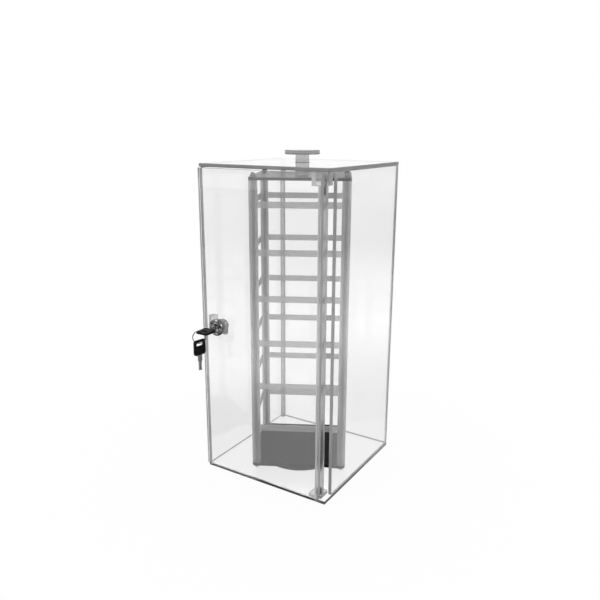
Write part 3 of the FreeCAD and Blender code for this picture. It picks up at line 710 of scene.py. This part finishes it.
def make_strips():
    """Card strips on four sides at each level: bars with a card groove along the lower part of the front.

    A strip's section is a rectangle with rounded corners, let in by the groove. It runs along the strip
    and is drawn in a little at both ends. The strips stay out of mirror images in the clear walls.
    """
    half, thick, corner = 57.3 * MM, 2.6 * MM, 0.5 * MM
    groove = np.array([[-1.3, -1.3], [-0.8, -1.5], [-0.8, -2.5], [-1.3, -2.7]]) * MM
    end, end_share = 0.3 * MM, 0.9
    along = np.array([-half, end - half, half - end, half])
    drawn_in = np.array([end_share, 1, 1, end_share])[:, None]
    for level in range(1, LEVELS + 1):
        for index, side in enumerate(SIDES):
            name = f"card_strip_{level}_{side}"
            low, high, middle = span(name)
            bar = box_outline(thick, high[2] - low[2], corner)
            section = np.concatenate([bar[:len(bar) // 2], groove, bar[len(bar) // 2:]])
            y, z = drawn_in * section[:, 0], drawn_in * section[:, 1]
            rings = np.stack([np.broadcast_to(along[:, None], y.shape), y, z], -1)
            facing = Matrix.Rotation(TOWER_TURN + index * math.pi / 2, 3, "Z")
            strip = piece(name + "_clear", placed(rings, facing, middle), clear_strip, "tower", [name],
                          flat_rows=range(len(along) - 1))
            strip.visible_glossy = False


def make_knob():
    """Clear post and round grip above the case, both rods with rounded ends."""
    post_edge, grip_edge = 0.4 * MM, 0.9 * MM
    low, high, _ = span("knob_post")
    post = rod_profile((high[0] - low[0]) / 2, high[2] - low[2] - 2 * JOINT_GAP, post_edge)
    rings = turned_rings(post) + np.array([0, 0, low[2] + JOINT_GAP])
    piece("knob_stem", rings, clear_knob, "tower", ["knob_post"])
    low, high, _ = span("knob_disc")
    grip = rod_profile((high[0] - low[0]) / 2, high[2] - low[2], grip_edge)
    rings = turned_rings(grip, WIDE_ROUND) + np.array([0, 0, low[2]])
    piece("knob_grip", rings, clear_knob, "tower", ["knob_disc"])


def paint_cad():
    """Materials of the CAD nodes that stay in view."""
    paint(["tie_rods"], rod_steel)
    paint(["lower_nuts", "cam_screw"], plain_steel)
    paint(["hinge_pins"], bright_plate)
    paint(["lock_plug"], lock_face)
    paint(["lock_cam"], lock_plate)
    paint(["key_blade", "spare_key_blade"], key_steel)
    paint(["slip_ring"], slip_plastic)


# Studio

VIEW_YAW = math.radians(31.9)
VIEW_PITCH = math.radians(15.11)
VIEW_ROLL = math.radians(0.26)
CAMERA_PLACE = (0.4898, -0.7915, 0.513)
SENSOR_WIDTH = 36
PICTURE_PIXELS = 600
FOCAL_PIXELS = 629.65

ROOM_HEIGHTS = (-0.3, 0.7)
ROOM_LEVELS = (0.45, 0.85)
BACKDROP_RIM = (math.cos(math.radians(62)), math.cos(math.radians(34)))

FLOOR_HALF = 4.0
FLOOR_DROP = -0.6 * MM
FLOOR_GREY = (0.6, 0.6, 0.6, 1)
FLOOR_ROUGH = 0.9
SHADOW_REACH = (0.1, 0.5)
SHADOW_SHARES = (0.965, 1.0)

# Pools of light on the floor that only mirrors show: distance from their centre and level.
POOL_CENTRE = (0.066, 0.106, 0)
DOOR_LINE = -0.1
SIDE_POOLS = ((0.05, 0.7), (0.24, 0.72), (0.66, 1.12), (1.15, 0.95), (2.05, 0.55), (3.1, 0.58),
              (4.0, 0.65))
DOOR_POOLS = ((0.1, 0.2), (0.46, 0.1), (0.72, 1.3), (1.0, 0.85), (1.5, 0.2), (2.2, 0.0), (4.0, 0.0))

# A ray's count of mirroring faces is below this where it has met none.
NO_MIRROR = 0.5

LAMP_AIM = Vector((0, 0, 0.23))


def make_camera():
    """The photograph's view: place, heading and tilt fitted to the case's straight edges."""
    level = np.array([math.cos(VIEW_YAW), math.sin(VIEW_YAW), 0])
    ahead = np.array([-math.sin(VIEW_YAW) * math.cos(VIEW_PITCH),
                      math.cos(VIEW_YAW) * math.cos(VIEW_PITCH), -math.sin(VIEW_PITCH)])
    plumb = np.cross(level, ahead)
    right = math.cos(VIEW_ROLL) * level + math.sin(VIEW_ROLL) * plumb
    up = math.cos(VIEW_ROLL) * plumb - math.sin(VIEW_ROLL) * level
    data = bpy.data.cameras.new("camera")
    data.sensor_width = SENSOR_WIDTH
    data.lens = SENSOR_WIDTH * FOCAL_PIXELS / PICTURE_PIXELS
    data.clip_start = 10 * MM
    camera = bpy.data.objects.new("camera", data)
    camera.matrix_world = Matrix(np.stack([right, up, -ahead], -1).tolist()).to_4x4()
    camera.location = CAMERA_PLACE
    bpy.context.scene.collection.objects.link(camera)
    bpy.context.scene.camera = camera


def feed(tree, value, socket):
    """Put a number or another node's output into an input."""
    if isinstance(value, (int, float)):
        socket.default_value = value
    else:
        tree.links.new(value, socket)


def math_node(tree, operation, first, second):
    """An operation on two values, each a number or another node's output."""
    made = node(tree, "ShaderNodeMath", operation=operation)
    feed(tree, first, made.inputs[0])
    feed(tree, second, made.inputs[1])
    return made.outputs[0]


def blended(tree, factor, first, second):
    """A value between two others, each a number or another node's output."""
    made = node(tree, "ShaderNodeMix")
    tree.links.new(factor, made.inputs["Factor"])
    feed(tree, first, made.inputs["A"])
    feed(tree, second, made.inputs["B"])
    return made.outputs["Result"]


def backdrop_share(tree):
    """1 on a ray that sees the backdrop straight or through clear sheet, 0 on reflections and light."""
    path = node(tree, "ShaderNodeLightPath").outputs
    direct = math_node(tree, "LESS_THAN", path["Glossy Depth"], NO_MIRROR)
    through = math_node(tree, "MULTIPLY", path["Is Transmission Ray"], direct)
    return math_node(tree, "MAXIMUM", path["Is Camera Ray"], through)


def make_world():
    """White backdrop behind the object, with a grey room round it for light and reflections.

    The room's level climbs with height. The backdrop is a cone about the view's heading, soft at its rim.
    """
    world = bpy.data.worlds.new("studio")
    bpy.context.scene.world = world
    world.use_nodes = True
    tree = world.node_tree
    tree.nodes.clear()
    where = node(tree, "ShaderNodeTexCoord").outputs["Generated"]
    split = node(tree, "ShaderNodeSeparateXYZ")
    tree.links.new(where, split.inputs[0])
    room = rescaled(tree, split.outputs["Z"], ROOM_HEIGHTS, ROOM_LEVELS)
    heading = (-math.sin(VIEW_YAW), math.cos(VIEW_YAW), 0)
    behind = node(tree, "ShaderNodeVectorMath", {1: heading}, operation="DOT_PRODUCT")
    tree.links.new(where, behind.inputs[0])
    screen = rescaled(tree, behind.outputs["Value"], BACKDROP_RIM, (0.0, 1.0),
                      interpolation_type="SMOOTHSTEP")
    white = math_node(tree, "MAXIMUM", screen, backdrop_share(tree))
    background = node(tree, "ShaderNodeBackground", {"Color": WHITE})
    tree.links.new(blended(tree, white, room, 1.0), background.inputs["Strength"])
    output = node(tree, "ShaderNodeOutputWorld")
    tree.links.new(background.outputs["Background"], output.inputs["Surface"])


def light_pools(tree, distance, pools):
    """Level of light on the floor against the distance from the pools' centre."""
    ramp = grey_ramp(tree, [(place / FLOOR_HALF, level) for place, level in pools])
    ramp.color_ramp.interpolation = "EASE"
    tree.links.new(math_node(tree, "DIVIDE", distance, FLOOR_HALF), ramp.inputs["Fac"])
    return ramp.outputs["Color"]


def floor_material():
    """White to the eye with a faint shadow that fades away from the base, and pooled light in mirrors."""
    material, tree, principled, output = shader("pale floor")
    principled.inputs["Base Color"].default_value = FLOOR_GREY
    principled.inputs["Roughness"].default_value = FLOOR_ROUGH
    principled.inputs["Specular IOR Level"].default_value = 0.0
    where = node(tree, "ShaderNodeTexCoord").outputs["Object"]
    away = node(tree, "ShaderNodeVectorMath", operation="LENGTH")
    tree.links.new(where, away.inputs[0])
    fade = rescaled(tree, away.outputs["Value"], SHADOW_REACH, SHADOW_SHARES)
    spread = node(tree, "ShaderNodeVectorMath", {1: POOL_CENTRE}, operation="DISTANCE")
    tree.links.new(where, spread.inputs[0])
    side = light_pools(tree, spread.outputs["Value"], SIDE_POOLS)
    door = light_pools(tree, spread.outputs["Value"], DOOR_POOLS)
    split = node(tree, "ShaderNodeSeparateXYZ")
    tree.links.new(where, split.inputs[0])
    in_front = math_node(tree, "LESS_THAN", split.outputs["Y"], DOOR_LINE)
    pooled = blended(tree, in_front, side, door)

    path = node(tree, "ShaderNodeLightPath").outputs
    mirrored = math_node(tree, "GREATER_THAN", path["Glossy Depth"], NO_MIRROR)
    glow = node(tree, "ShaderNodeEmission", {"Color": WHITE})
    tree.links.new(blended(tree, mirrored, 1.0, pooled), glow.inputs["Strength"])
    straight = math_node(tree, "MAXIMUM", path["Is Camera Ray"], path["Is Transmission Ray"])
    seen = math_node(tree, "MAXIMUM", straight, path["Is Glossy Ray"])
    share = math_node(tree, "MULTIPLY", seen, blended(tree, mirrored, fade, 1.0))
    surface = mixed(tree, share, principled.outputs["BSDF"], glow.outputs["Emission"])
    tree.links.new(surface, output.inputs["Surface"])
    return material


def make_floor():
    """A wide pale floor just under the base."""
    mesh = bpy.data.meshes.new("floor")
    corners = ((-1, -1), (1, -1), (1, 1), (-1, 1))
    mesh.from_pydata([(FLOOR_HALF * x, FLOOR_HALF * y, FLOOR_DROP) for x, y in corners],
                     [], [(0, 1, 2, 3)])
    mesh.materials.append(floor_material())
    floor = bpy.data.objects.new("floor", mesh)
    bpy.context.scene.collection.objects.link(floor)


def make_lamps():
    """Two soft boxes: one above and in front on the left, one on the right."""
    for name, place, size, power in (
        ("soft_box_left", (-0.9, -1.1, 1.5), 0.9, 9),
        ("soft_box_right", (1.2, -0.5, 1.1), 0.7, 5),
    ):
        data = bpy.data.lights.new(name, "AREA")
        data.size = size
        data.energy = power
        lamp = bpy.data.objects.new(name, data)
        lamp.location = place
        lamp.rotation_mode = "QUATERNION"
        lamp.rotation_quaternion = (LAMP_AIM - Vector(place)).to_track_quat("-Z", "Y")
        bpy.context.scene.collection.objects.link(lamp)


def set_light_paths():
    """Enough bounces for light to pass all the clear walls."""
    cycles = bpy.context.scene.cycles
    cycles.max_bounces = 40
    cycles.transmission_bounces = 40
    cycles.glossy_bounces = 24
    cycles.transparent_max_bounces = 32


make_case()
make_door()
make_lock()
make_keys()
make_turntable()
make_plates()
make_posts()
make_strips()
make_knob()
paint_cad()
make_camera()
make_world()
make_floor()
make_lamps()
set_light_paths()
bpy.context.scene.view_settings.view_transform = "Standard"
